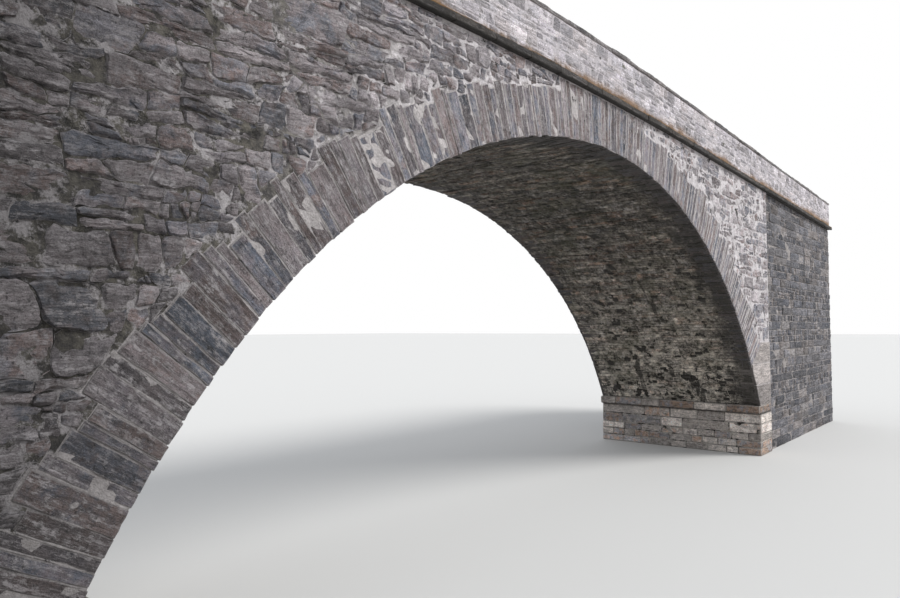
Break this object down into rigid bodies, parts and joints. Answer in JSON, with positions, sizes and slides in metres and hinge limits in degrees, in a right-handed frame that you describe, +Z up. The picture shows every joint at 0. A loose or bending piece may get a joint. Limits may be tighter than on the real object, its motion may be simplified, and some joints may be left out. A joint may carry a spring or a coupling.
{
  "type": "stone arch bridge",
  "caption": "Rubble stone road bridge: one segmental arch of thin slabs, spandrel and wing walls, projecting string course and coped parapets.",
  "frame": {"origin": "middle of the bridge in plan, on the level that its lowest course stands on", "axes": "+X along the road to the right end, -Y towards the face that is seen, +Z up"},
  "size_m": [36.8, 5.05, 8.835],
  "materials": {
    "ring_stone": "rough quarry faced slabs with pale mortar",
    "vault_stone": "rough slabs, damp and stained",
    "dressed_stone": "dressed blocks, worn edges",
    "rubble_stone": "random rubble with pale mortar",
    "wing_stone": "squared dark rubble with pale mortar",
    "string_stone": "weathered slabs with moss",
    "parapet_stone": "fine rubble with lichen",
    "coping_stone": "thin weathered slabs",
    "road_surface": "packed fine stone",
    "fill_stone": "loose rubble"
  },
  "bodies": {
    "root": {"footing_left": "wing_stone", "footing_right": "wing_stone", "plinth_left": "dressed_stone", "plinth_right": "dressed_stone", "impost_left": "dressed_stone", "impost_right": "dressed_stone", "springer_front_left": "ring_stone", "springer_front_right": "ring_stone", "springer_back_left": "ring_stone", "springer_back_right": "ring_stone", "ring_front_left": "ring_stone", "ring_front_crown": "ring_stone", "ring_front_right": "ring_stone", "ring_back_left": "ring_stone", "ring_back_crown": "ring_stone", "ring_back_right": "ring_stone", "barrel_left": "vault_stone", "barrel_crown": "vault_stone", "barrel_right": "vault_stone", "spandrel_front_left": "rubble_stone", "spandrel_front_right": "rubble_stone", "spandrel_back_left": "rubble_stone", "spandrel_back_right": "rubble_stone", "wing_front_left": "wing_stone", "wing_front_right": "wing_stone", "wing_back_left": "wing_stone", "wing_back_right": "wing_stone", "end_wall_left": "wing_stone", "end_wall_right": "wing_stone", "fill_left": "fill_stone", "fill_right": "fill_stone", "roadway": "road_surface", "string_front_left": "string_stone", "string_front_right": "string_stone", "string_back_left": "string_stone", "string_back_right": "string_stone", "parapet_front_left": "parapet_stone", "parapet_front_right": "parapet_stone", "parapet_back_left": "parapet_stone", "parapet_back_right": "parapet_stone", "coping_front_left": "coping_stone", "coping_front_right": "coping_stone", "coping_back_left": "coping_stone", "coping_back_right": "coping_stone"}
  },
  "joints": []
}
